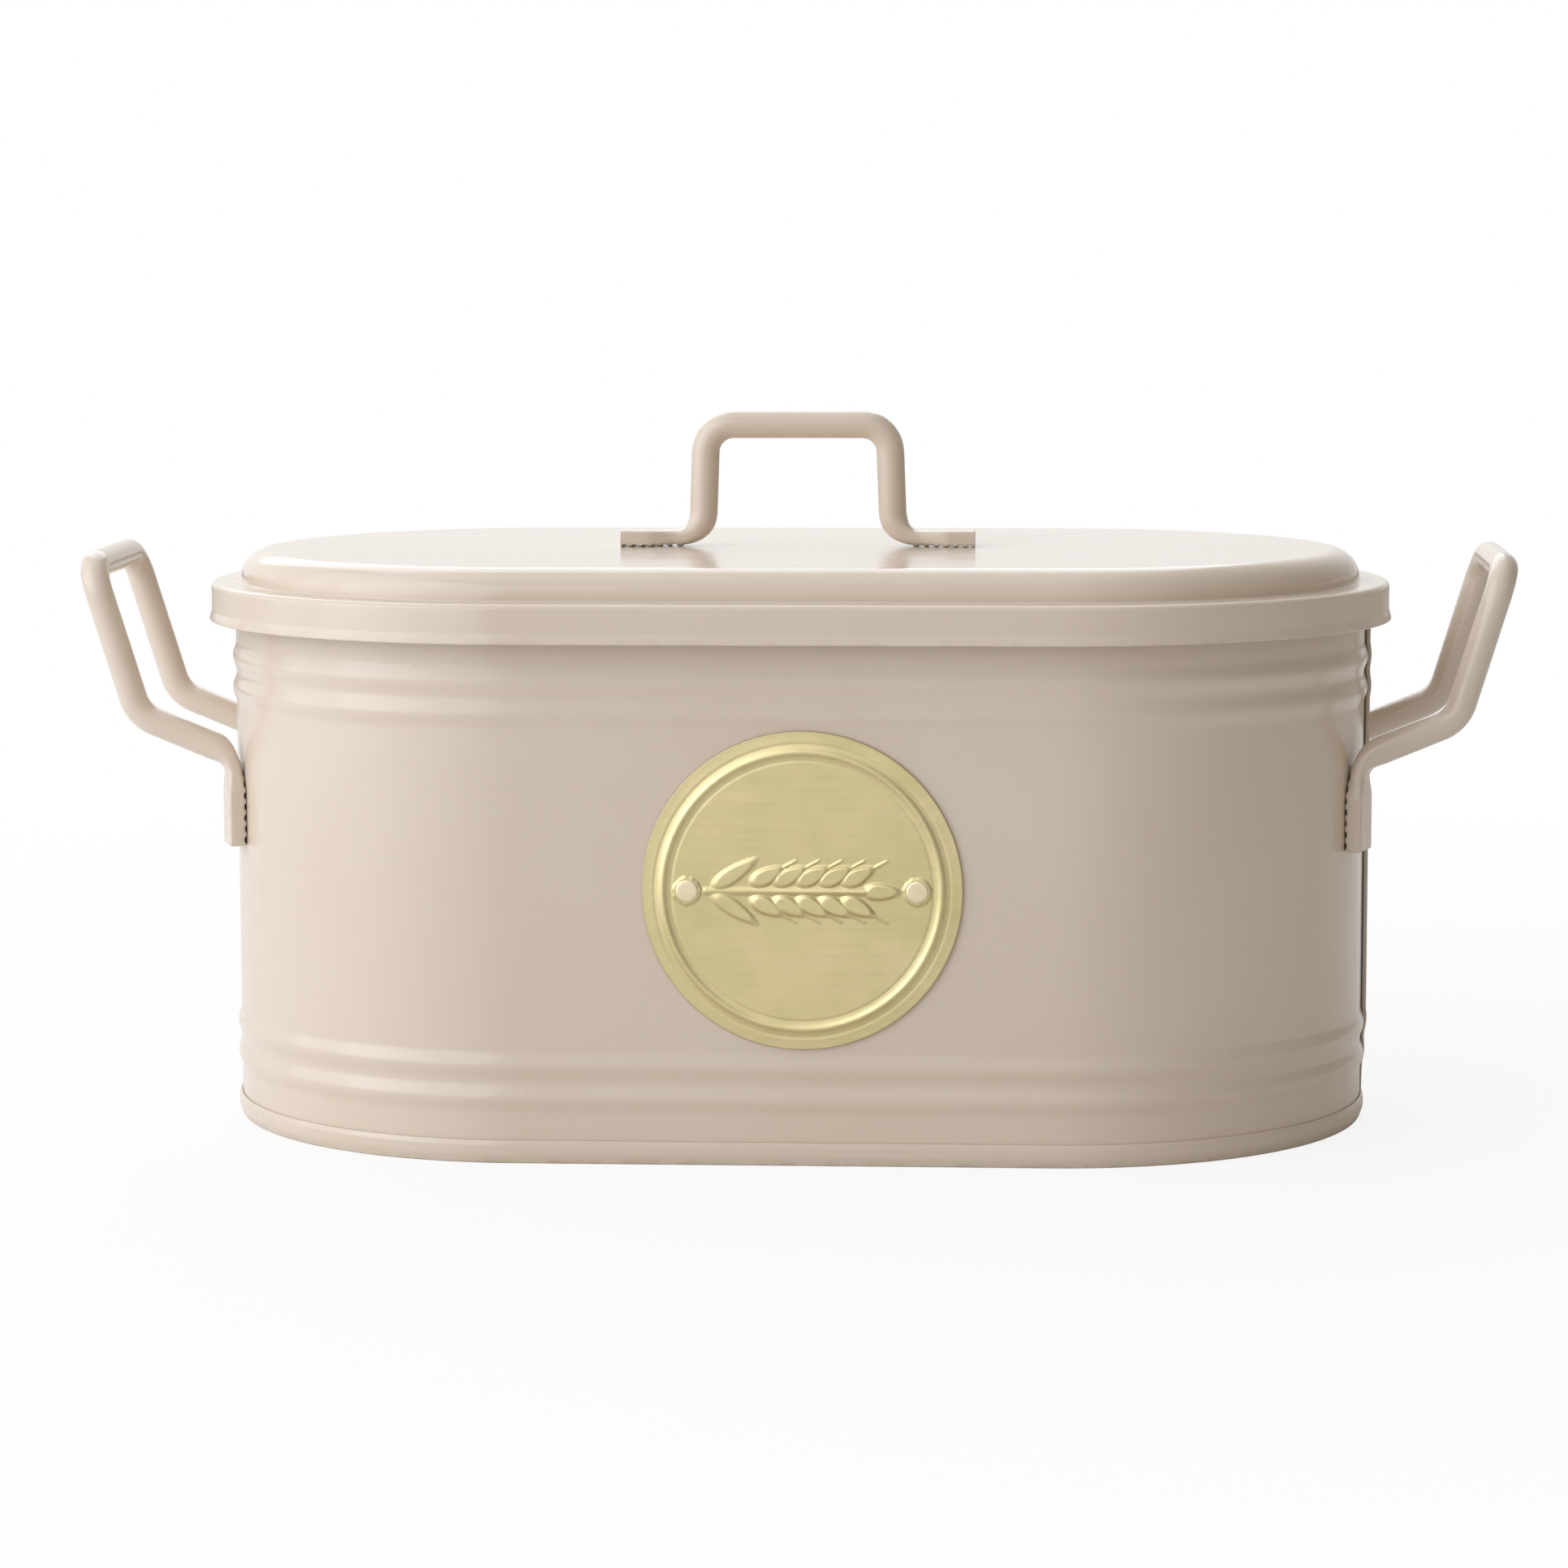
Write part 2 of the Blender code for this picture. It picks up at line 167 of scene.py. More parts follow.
# Section and grid of a sheet that runs from the plan's middle line to a rim: it falls by the
# crown, with the square of the distance, and the path of the rim goes on from there
def panGrid(rim, crown, values):
    start = rim[0, 0]
    across = np.linspace(-endRadius, start, values["rings"], endpoint=False)
    fall = crown * ((across + endRadius) / (start + endRadius)) ** 2
    middle = np.concatenate([np.stack([across, rim[0, 1] + crown - fall], 1), rim])
    section = sheetSection(middle, sheetThick, False)[0]
    angles = halfTurn(values["endSteps"])
    return section, carriedGrid(section, oblongStations(angles, angles, values["straightSteps"]))


# Quads between neighbours of a grid of points, joined round where it wraps
def gridFaces(rows, columns, wrapRows, wrapColumns):
    row, column = np.meshgrid(np.arange(rows if wrapRows else rows - 1),
                              np.arange(columns if wrapColumns else columns - 1), indexing="ij")
    nextRow = (row + 1) % rows
    nextColumn = (column + 1) % columns
    quads = np.stack([row * columns + column, nextRow * columns + column,
                      nextRow * columns + nextColumn, row * columns + nextColumn], -1)
    return quads.reshape(-1, 4).tolist()


# Long, shallow unevenness of a flat sheet: a few sine waves that cross at different angles,
# brought to the range 0 to 1
def unevenness(across, along, lengths, seed):
    draw = np.random.default_rng(seed)
    total = 0
    for length in lengths:
        turn, shift = draw.uniform(0, math.pi), draw.uniform(0, 2 * math.pi)
        total = total + np.sin(2 * math.pi * (across * math.cos(turn) + along * math.sin(turn))
                               / length + shift)
    return 0.5 + 0.5 * total / len(lengths)


# New object in the scene
def addObject(name, data):
    item = bpy.data.objects.new(name, data)
    bpy.context.scene.collection.objects.link(item)
    return item


# Middle of a CAD node's box
def centreOf(node):
    low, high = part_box(node)
    return (low + high) / 2


# Angles of a whole circle in even steps, moved on by a share of a step
def wholeTurn(steps, shift=0.0):
    return 2 * math.pi * (np.arange(steps) + shift) / steps


# Raggedness round a circle: a sum of sines, each with a whole number of waves
def raggedness(angles, counts, least, seed):
    draw = np.random.default_rng(seed)
    return sum(draw.uniform(least, 1) * np.sin(count * angles + draw.uniform(0, 6.3))
               for count in counts)


# Makes the mesh and the object from a grid of points that wraps in its rows, its columns or
# both, and is capped at its first and last row where only its columns wrap. Welds seams and
# poles, turns the faces out, ties the piece to its CAD body, hides the CAD node that it stands
# for and gives it its finish. The materials read the wear and the painted shade of each point.
def addPiece(name, grid, wraps, material, body, node, wear=0, paintedShade=0, sharpAngle=40):
    rows, columns = grid.shape[:2]
    faces = gridFaces(rows, columns, *wraps)
    if not wraps[0]:
        faces += [list(range(columns)), list(range((rows - 1) * columns, rows * columns))]
    mesh = bpy.data.meshes.new(name)
    mesh.from_pydata(grid.reshape(-1, 3).tolist(), [], faces)
    for attribute, amounts in (("wear", wear), ("paintedShade", paintedShade)):
        layer = mesh.attributes.new(attribute, "FLOAT", "POINT")
        amounts = np.broadcast_to(amounts, (rows, columns)).astype(np.float32)
        layer.data.foreach_set("value", amounts.ravel())
    solid = bmesh.new()
    solid.from_mesh(mesh)
    bmesh.ops.remove_doubles(solid, verts=solid.verts, dist=weldDistance)
    bmesh.ops.recalc_face_normals(solid, faces=solid.faces)
    solid.to_mesh(mesh)
    solid.free()
    mesh.shade_smooth()
    mesh.set_sharp_from_angle(angle=math.radians(sharpAngle))
    mesh.materials.append(material)
    piece = addObject(name, mesh)
    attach(piece, body)
    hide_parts(node)
    print(f"{name}: {len(mesh.polygons)} faces")


# Finishes

# Adds a shader node; an input is given a value, or a socket to link from
def addNode(tree, kind, inputs=None, **options):
    item = tree.nodes.new(kind)
    for name, value in options.items():
        setattr(item, name, value)
    for name, value in (inputs or {}).items():
        if isinstance(value, bpy.types.NodeSocket):
            tree.links.new(value, item.inputs[name])
        else:
            item.inputs[name].default_value = value
    return item


# Noise of 0 to 1; the scale is in cells per metre
def addNoise(tree, place, scale, detail=2.0, distortion=0.0):
    return addNode(tree, "ShaderNodeTexNoise", {"Vector": place, "Scale": scale, "Detail": detail,
                                                "Distortion": distortion}).outputs["Fac"]


def addMath(tree, operation, first, second):
    return addNode(tree, "ShaderNodeMath", {0: first, 1: second}, operation=operation).outputs[0]


# Amount that is kept for each point of a piece
def addAttribute(tree, name):
    return addNode(tree, "ShaderNodeAttribute", attribute_name=name).outputs["Fac"]


# Round spots, 1 inside and 0 outside, in a share of the cells, each of its own size
def addSpots(tree, place, scale, share, sizes):
    cells = addNode(tree, "ShaderNodeTexVoronoi", {"Vector": place, "Scale": scale})
    chosen = addNode(tree, "ShaderNodeSeparateColor", {"Color": cells.outputs["Color"]})
    picked = addMath(tree, "LESS_THAN", chosen.outputs[0], share)
    size = addRange(tree, chosen.outputs[1], 0.0, 1.0, *sizes)
    inside = addMath(tree, "LESS_THAN", cells.outputs["Distance"], size)
    return addMath(tree, "MULTIPLY", picked, inside)


# Maps a value from one range to another and holds it at the ends
def addRange(tree, value, fromLow, fromHigh, toLow, toHigh):
    return addNode(tree, "ShaderNodeMapRange",
                   {"Value": value, "From Min": fromLow, "From Max": fromHigh,
                    "To Min": toLow, "To Max": toHigh}).outputs["Result"]


# First colour where the share is 0, second where it is 1
def addMix(tree, share, first, second):
    mix = addNode(tree, "ShaderNodeMix", {0: share, 6: first, 7: second}, data_type="RGBA")
    return mix.outputs[2]


# Bump from a height, laid over the bump under it
def addBump(tree, height, strength, distance, under=None):
    inputs = {"Height": height, "Strength": strength, "Distance": distance}
    if under is not None:
        inputs["Normal"] = under
    return addNode(tree, "ShaderNodeBump", inputs).outputs["Normal"]


# New material with its tree, its shader and the place on the piece in metres
def startMaterial(name):
    material = bpy.data.materials.new(name)
    material.use_nodes = True
    tree = material.node_tree
    place = addNode(tree, "ShaderNodeTexCoord").outputs["Object"]
    return material, tree, tree.nodes["Principled BSDF"], place


# Ties a colour, a roughness and a normal to the shader
def finishMaterial(tree, shader, colour, roughness, normal):
    tree.links.new(colour, shader.inputs["Base Color"])
    tree.links.new(roughness, shader.inputs["Roughness"])
    tree.links.new(normal, shader.inputs["Normal"])


enamelFinish = {
    "colour": (0.668, 0.563, 0.458, 1),
    "shade": (0.651, 0.544, 0.438, 1),  # where the coat is a little thicker
    "worn": (0.500, 0.405, 0.310, 1),  # along rubbed edges
    "speck": (0.400, 0.320, 0.245, 1),
    "paintedShade": (0.100, 0.075, 0.055, 1),  # painted dark shade in the seam's gap and on its nose, and between the welding teeth
    "toneScale": 16.0,  # scales are in cells per metre
    "peelScale": 620.0,  # orange peel of the powder coat
    "peelBump": 0.05,
    "flowScale": 42.0,  # slower flow of the coat
    "flowBump": 0.015,
    "speckScale": 105.0,
    "speckSize": (0.016, 0.032),  # in cells
    "speckShare": 0.22,  # cells that hold a speck
    "scuffScale": 23.0,
    "scuffWidth": 0.0016,
    "scuffPlaceScale": 31.0,
    "scuffFrom": 0.66,  # noise above which there are scuffs
    "wearScale": 210.0,
    "roughness": (0.15, 0.21),
    "roughnessScale": 75.0,
    "wornRoughness": 0.18,  # added to the roughness
    "scuffRoughness": 0.15,
}


# Semi-gloss powder coat: two near tones, sparse specks and hairline scuffs, orange peel
# over a slower flow of the coat, a duller, darker tone where the wear attribute is high, and
# a painted dark-brown shade where the painted-shade attribute is
def enamelMaterial():
    values = enamelFinish
    material, tree, shader, place = startMaterial("warmBeigeEnamel")
    tone = addRange(tree, addNoise(tree, place, values["toneScale"], 3.0), 0.38, 0.64, 0.0, 1.0)
    colour = addMix(tree, tone, values["colour"], values["shade"])
    speck = addSpots(tree, place, values["speckScale"], values["speckShare"], values["speckSize"])
    colour = addMix(tree, addMath(tree, "MULTIPLY", speck, 0.5), colour, values["speck"])

    field = addNoise(tree, place, values["scuffScale"], 1.0, 1.5)
    line = addMath(tree, "ABSOLUTE", addMath(tree, "SUBTRACT", field, 0.5), 0.0)
    thin = addMath(tree, "LESS_THAN", line, values["scuffWidth"])
    rare = addMath(tree, "GREATER_THAN", addNoise(tree, place, values["scuffPlaceScale"], 1.0),
                   values["scuffFrom"])
    scuff = addMath(tree, "MULTIPLY", thin, rare)

    patches = addRange(tree, addNoise(tree, place, values["wearScale"], 4.0), 0.40, 0.62, 0.0, 1.0)
    worn = addMath(tree, "MULTIPLY", addAttribute(tree, "wear"), patches)
    colour = addMix(tree, worn, colour, values["worn"])
    # Painted dark-brown shade in the seam's gap and in the notches between the teeth
    colour = addMix(tree, addAttribute(tree, "paintedShade"), colour, values["paintedShade"])

    cloud = addNoise(tree, place, values["roughnessScale"], 4.0)
    roughness = addRange(tree, cloud, 0.3, 0.7, *values["roughness"])
    for amount, added in ((worn, values["wornRoughness"]), (scuff, values["scuffRoughness"])):
        roughness = addMath(tree, "ADD", roughness, addMath(tree, "MULTIPLY", amount, added))

    flow = addNoise(tree, place, values["flowScale"], 1.0)
    peel = addNoise(tree, place, values["peelScale"], 2.0)
    depth = addMath(tree, "ADD", speck, addMath(tree, "MULTIPLY", scuff, 0.4))
    normal = addBump(tree, flow, values["flowBump"], 0.0020)
    normal = addBump(tree, peel, values["peelBump"], 0.0003, normal)
    normal = addBump(tree, addMath(tree, "SUBTRACT", 1.0, depth), 0.35, 0.0001, normal)
    finishMaterial(tree, shader, colour, roughness, normal)
    return material


brassFinish = {
    "colour": (0.690, 0.592, 0.332, 1),
    "deep": (0.625, 0.540, 0.282, 1),  # greener patches
    "dull": (0.430, 0.355, 0.190, 1),
    "roughness": (0.42, 0.52),
    "brushLength": 0.06,  # how far the brushing is drawn out sideways
}

rivetFinish = {
    "colour": (0.830, 0.735, 0.530, 1),
    "deep": (0.780, 0.685, 0.475, 1),
    "dull": (0.500, 0.415, 0.260, 1),
    "roughness": (0.42, 0.52),
    "brushLength": 1.0,
}

brassGrain = {
    "cloudScale": 48.0,  # scales are in cells per metre
    "streakScale": 900.0,
    "streakShare": 0.16,
    "pitScale": 190.0,
    "pitShare": 0.14,  # cells that hold a pit
    "pitSize": (0.045, 0.045),  # in cells
    "roughnessScale": 330.0,
    "dentScale": 60.0,
    "wearShare": 0.7,
}


# Satin brass sheet: brushed sideways, so its noise is drawn out along X, with cloudy
# tarnish, small dark pits and a duller tone where the wear attribute is high
def brassMaterial(name, values):
    grain = brassGrain
    material, tree, shader, place = startMaterial(name)
    drawn = addNode(tree, "ShaderNodeMapping", {"Vector": place,
                                                "Scale": (values["brushLength"], 1.0, 1.0)})
    brushed = drawn.outputs["Vector"]
    cloud = addRange(tree, addNoise(tree, place, grain["cloudScale"], 4.0, 0.6), 0.36, 0.66, 0.0, 1.0)
    streak = addRange(tree, addNoise(tree, brushed, grain["streakScale"], 3.0), 0.3, 0.7, 0.0, 1.0)
    pit = addSpots(tree, place, grain["pitScale"], grain["pitShare"], grain["pitSize"])
    wear = addAttribute(tree, "wear")
    colour = addMix(tree, cloud, values["colour"], values["deep"])
    for amount, share in ((streak, grain["streakShare"]), (pit, 0.5), (wear, grain["wearShare"])):
        colour = addMix(tree, addMath(tree, "MULTIPLY", amount, share), colour, values["dull"])
    patches = addNoise(tree, brushed, grain["roughnessScale"], 4.0)
    roughness = addRange(tree, patches, 0.3, 0.7, *values["roughness"])
    normal = addBump(tree, addNoise(tree, place, grain["dentScale"], 2.0), 0.10, 0.0008)
    normal = addBump(tree, streak, 0.05, 0.0001, normal)
    shader.inputs["Metallic"].default_value = 1.0
    finishMaterial(tree, shader, colour, roughness, normal)
    return material


# Side wall

wallShape = {
    "lowerBeads": (0.0188, 0.0281),  # above the table
    "upperBeads": (0.0304, 0.0212),  # below the top of the rim
    "beadWidth": 0.0088,
    "beadHeight": 0.0010,
    "curl": 0.0056,  # outside diameter of the curled rim
    "curlTurn": 300.0,
    "heightSteps": (0.0006, 0.0030),  # over the beads, and between them
    "endSteps": 84,
    "straightSteps": 36,
    "curlSteps": 33,
    "waves": 0.00014,  # depth of the sheet's unevenness
    "waveLengths": (0.165, 0.118, 0.083, 0.061, 0.047),
    "waveStretch": 0.7,  # how much of the straights' length they count
    "waveFade": (0.004, 0.020, 0.140, 0.152),  # heights over which it comes in and dies out
    "rimWear": 0.0009,  # height of the rubbed top of the rim
}

seamShape = {
    "width": 0.0070,
    "rise": 0.0017,
    "beads": 0.4,  # share of the beads that the folded layers keep
    "creviceWidth": 0.00038,
    "creviceDepth": 0.00040,
    "room": 0.004,  # turn on either side of it that has no stations of the plain wall
    "nose": 0.0009,  # how far round the folded edge takes to stand up
    "joggle": 0.0022,  # how far round the back edge takes to come down
    "foot": 0.0066,
    "blend": 0.0006,
    "thinning": (0.0070, 0.0360, 0.30),  # heights over which it sinks to a share of its rise
    "dark": 0.0005,  # the gap's depth of shade, up the nose
    "paintedShade": (1.0, 0.30),  # painted shade in the gap and on the nose
}


# Height of the pressed beads above the plain wall: one cosine wave across each bead
def beadRise(height):
    beads = wallShape["lowerBeads"] + tuple(wallHigh.z - drop for drop in wallShape["upperBeads"])
    offsets = height[..., None] - np.array(beads)
    inside = np.abs(offsets) < wallShape["beadWidth"] / 2
    waves = 0.5 + 0.5 * np.cos(2 * math.pi * offsets / wallShape["beadWidth"])
    return wallShape["beadHeight"] * np.sum(waves * inside, axis=-1)


# Middle of the wall's sheet: straight up, in fine steps over the beads and long ones between
# them, then an arc for the curled rim
def wallMiddle():
    values = wallShape
    curlCentre = wallHigh.z - values["curl"] / 2
    plainLow = wallLow.z + values["lowerBeads"][1] + values["beadWidth"] / 2
    plainHigh = wallHigh.z - values["upperBeads"][0] - values["beadWidth"] / 2
    fine, coarse = values["heightSteps"]
    heights = np.concatenate([np.arange(wallLow.z + sheetThick / 2, plainLow, fine),
                              np.arange(plainLow, plainHigh, coarse),
                              np.arange(plainHigh, curlCentre - fine / 2, fine), [curlCentre]])
    straight = np.stack([beadRise(heights), heights], 1)
    angles = math.pi - np.radians(np.linspace(0, values["curlTurn"], values["curlSteps"] + 1))[1:]
    radius = (values["curl"] - sheetThick) / 2
    rim = np.stack([radius + radius * np.cos(angles), curlCentre + radius * np.sin(angles)], 1)
    middle = np.concatenate([straight, rim])
    middle[:, 0] -= sheetThick / 2
    return middle


# Distances round the end, from the seam's middle, at which the wall is cut into stations:
# close together in the crevice and up the nose, wider over the flat back
def seamPlaces():
    values = seamShape
    front = -values["width"] / 2
    crevice = front - values["creviceWidth"] * np.linspace(1.15, 0, 8)
    nose = front + values["nose"] * np.linspace(0, 1, 9)[1:] ** 1.6
    back = np.linspace(front + 0.0016, -front + values["joggle"], 17)
    return np.concatenate([crevice, nose, back])


# How far the seam stands out at a distance round the end from its middle: a sharp crevice
# beside the fold, a quarter-ellipse nose, a flat back and a smooth joggle down. The second
# result is the share of the folded layers there, from 0 to 1.
def seamRise(distance):
    values = seamShape
    front, half, joggle = -values["width"] / 2, values["width"] / 2, values["joggle"] / 2
    nose = np.clip((distance - front) / values["nose"], 0, 1)
    stand = values["rise"] * np.sqrt(1 - (1 - nose) ** 2)
    back = 1 - smoothStep(distance, half - joggle, half + joggle)
    crevice = np.clip(1 - np.abs(distance - front + values["creviceWidth"] / 2)
                      / (values["creviceWidth"] / 2), 0, 1)
    return stand * back - values["creviceDepth"] * np.sqrt(crevice), (distance > front) * back


# The sheet's section carried round the plan. The seam is added to the outer face, between
# the hem and the curled rim, and there the folded layers flatten the beads.
def addSideWall(material):
    values = wallShape
    section, isOutside = sheetSection(wallMiddle(), sheetThick)
    height = section[:, 1]
    seamAngles = seamPlaces() / endRadius
    plain = halfTurn(values["endSteps"])
    room = seamShape["room"]
    beside = (plain < seamAngles[0] - room) | (plain > seamAngles[-1] + room)
    rightAngles = np.sort(np.concatenate([plain[beside], seamAngles]))
    stations = oblongStations(rightAngles, halfTurn(values["endSteps"]), values["straightSteps"])
    centres, ways = stations
    distance = np.arctan2(ways[:, 1], ways[:, 0]) * endRadius

    onRightEnd = centres[:, 0] > halfStraight - weldDistance
    farAway = 1.0
    rise, layers = seamRise(np.where(onRightEnd, distance, farAway))
    foot, blend = seamShape["foot"], seamShape["blend"]
    top = wallHigh.z - values["curl"] - pieceGap
    span = isOutside * smoothStep(height, foot, foot + blend) * (1 - smoothStep(height, top - blend, top))
    low, high, least = seamShape["thinning"]
    full = least + (1 - least) * smoothStep(height, low, high)
    flattened = (1 - seamShape["beads"]) * beadRise(height)
    offset = (rise[:, None] * full - layers[:, None] * flattened) * span

    along = centres[:, 0] * values["waveStretch"] + distance
    waves = unevenness(along[:, None], height[None, :], values["waveLengths"], 11)
    fadeIn, fullFrom, fullTo, fadeOut = values["waveFade"]
    still = smoothStep(height, wallLow.z + fadeIn, fullFrom) * (1 - smoothStep(height, fullTo, fadeOut))
    offset = offset - values["waves"] * waves * still

    # Painted shade: full dark in the gap beside the fold, and a lighter share on the rest of the nose
    inCrevice, onNose = seamShape["paintedShade"]
    fold = onRightEnd & (np.abs(distance + seamShape["width"] / 2) < seamShape["nose"]) & (rise != 0)
    paintedShade = fold * np.where(rise < seamShape["dark"], inCrevice, onNose)
    wear = 0.25 * smoothStep(height, wallHigh.z - values["rimWear"], wallHigh.z)
    grid = carriedGrid(section, stations, offset)
    addPiece("sideWall", grid, (True, True), material, "bin", "side_wall", wear,
             paintedShade[:, None] * span)


# Base

baseShape = {
    "panelHeight": 0.0066,  # underside of the panel above the table
    "panelBend": 0.0016,
    "innerFold": 0.0003,
    "footFold": 0.0006,
    "outerFold": 0.0030,
    "footInset": (0.0010, 0.0026),  # how far the rounded foot draws in, and from what height
    "hemHeight": 0.0068,
    "edgeTuck": 0.00026,  # how far the hem's edge is pressed in at the wall
    "tuckHeight": 0.0012,
    "edgeBend": 0.0030,
    "footWear": 0.0014,  # height of the rubbed foot
    "endSteps": 96,
    "straightSteps": 16,
    "rings": 8,  # from the middle line to the edge of the panel
}


# Middle of the base's sheet: across the panel, down inside the wall, round its foot and up
# outside as the hem, whose edge is tucked in against the wall
def addBase(material):
    values = baseShape
    panel = values["panelHeight"] + sheetThick / 2
    inside = -sheetThick - pieceGap - sheetThick / 2
    outside = baseHigh.y - endRadius - sheetThick / 2
    foot = baseLow.z + sheetThick / 2
    edge = values["hemHeight"] - sheetThick / 2
    inset, insetHeight = values["footInset"]
    corners = [(inside - 3 * values["panelBend"], panel), (inside, panel), (inside, foot),
               (outside - inset, foot), (outside, foot + insetHeight),
               (outside, edge - values["tuckHeight"]), (outside - values["edgeTuck"], edge)]
    bends = (values["panelBend"], values["innerFold"], values["footFold"], values["outerFold"],
             values["edgeBend"])
    section, grid = panGrid(roundedPath(corners, bends), 0.0, values)
    wear = 0.8 * (1 - smoothStep(section[:, 1], 0.0, values["footWear"]))
    addPiece("basePan", grid, (True, False), material, "bin", "base_pan", wear)


# Lid

lidShape = {
    "domeHeight": 0.0095,  # from the flange to the top
    "domeInset": 0.0020,  # foot of the dome inside the plain wall
    "domeBend": 0.0080,
    "domeFootBend": 0.0010,
    "skirtBend": 0.0012,
    "skirtFlare": 0.0007,
    "skirtRoll": 0.0026,  # height over which it flares
    "rollBend": 0.0022,
    "skirtWear": 0.0008,  # height of the rubbed edge
    "topStart": 1.35,  # where the shoulder starts, in bends inside the dome's foot
    "crown": 0.00025,  # how much the top falls from its middle line
    "waves": 0.00003,
    "waveEnd": 0.025,  # distance over which they die out before the shoulder
    "waveLengths": (0.150, 0.110, 0.085, 0.060),
    "endSteps": 96,
    "straightSteps": 48,
    "rings": 16,
}


# Middle of the lid's sheet: a top that falls with the square of the distance from the
# middle line, a round shoulder, a fillet, a narrow flange and a skirt that flares at its edge
def addLid(material):
    values = lidShape
    top = lidHigh.z - sheetThick / 2
    flange = top - values["domeHeight"]
    dome = -values["domeInset"] - sheetThick / 2
    flare = lidHigh.y - endRadius - sheetThick / 2
    skirt = flare - values["skirtFlare"]
    edge = lidLow.z + sheetThick / 2
    start = dome - values["topStart"] * values["domeBend"]
    corners = [(start, top - values["crown"]), (dome, top - values["crown"]), (dome, flange),
               (skirt, flange), (skirt, edge + values["skirtRoll"]), (flare, edge)]
    bends = (values["domeBend"], values["domeFootBend"], values["skirtBend"], values["rollBend"])
    section, grid = panGrid(roundedPath(corners, bends, 18), values["crown"], values)
    inTop = 1 - smoothStep(section[:, 0], start - values["waveEnd"], start)
    waves = unevenness(grid[:, :, 0], grid[:, :, 1], values["waveLengths"], 5)
    grid[:, :, 2] -= values["waves"] * waves * inTop[None, :]
    wear = 0.5 * (1 - smoothStep(section[:, 1], lidLow.z, lidLow.z + values["skirtWear"]))
    addPiece("lidShell", grid, (True, False), material, "lid", "lid_shell", wear)


# Handles

rodShape = {
    "rod": 0.0082,
    "footThick": 0.0046,
    "footWide": 0.0120,
    "footCorner": 0.20,  # 1 is an ellipse, towards 0 the foot's corners sharpen
    "around": 48,
    "step": 0.0009,  # between sections, and finer in the feet
    "footStep": 0.0003,
    "chamfer": 0.00016,
    "cutSlant": 0.00016,  # how far out of square the sheared end is
    "cutReach": 0.0015,  # how far along the foot the slant is felt
    "toothLand": 0.34,  # share of a tooth's pitch that bears
    "toothSide": 0.16,  # share of the pitch that each side takes
    "toothFade": 0.0020,
    "toothFace": (0.74, 0.97),  # where across the thickness the teeth come in
    "toothRoom": 0.00003,  # left between the teeth and the sheet
    "notchDepth": (0.00025, 0.00060),
    "wrinkle": 0.00005,  # buckling inside the bends
    "wrinkleLength": 0.0021,
    "wrinkleFrom": 130.0,  # bend per metre at which it is full
    "endWear": 0.0009,
}


# Frames carried along a path: each normal is the last one less its part along the path
def carriedFrames(tangents, firstNormal):
    normals = np.empty_like(tangents)
    normal = np.array(firstNormal, float)
    for k, along in enumerate(tangents):
        normal = unit(normal - along * (normal @ along))
        normals[k] = normal
    return normals, np.cross(tangents, normals)


# Depth of the notches between the welding teeth at each place along a foot: each tooth has
# a flat land and steep sides, and each notch has a depth of its own
def notches(places, pitch, draw):
    values = rodShape
    teeth = np.floor(places / pitch).astype(int)
    phase = places / pitch - teeth
    depths = draw.uniform(*values["notchDepth"], teeth.max() + 1)
    land, side = values["toothLand"] / 2, values["toothSide"]
    return (depths[teeth] * smoothStep(phase, land, land + side)
            * (1 - smoothStep(phase, 1 - land - side, 1 - land)))


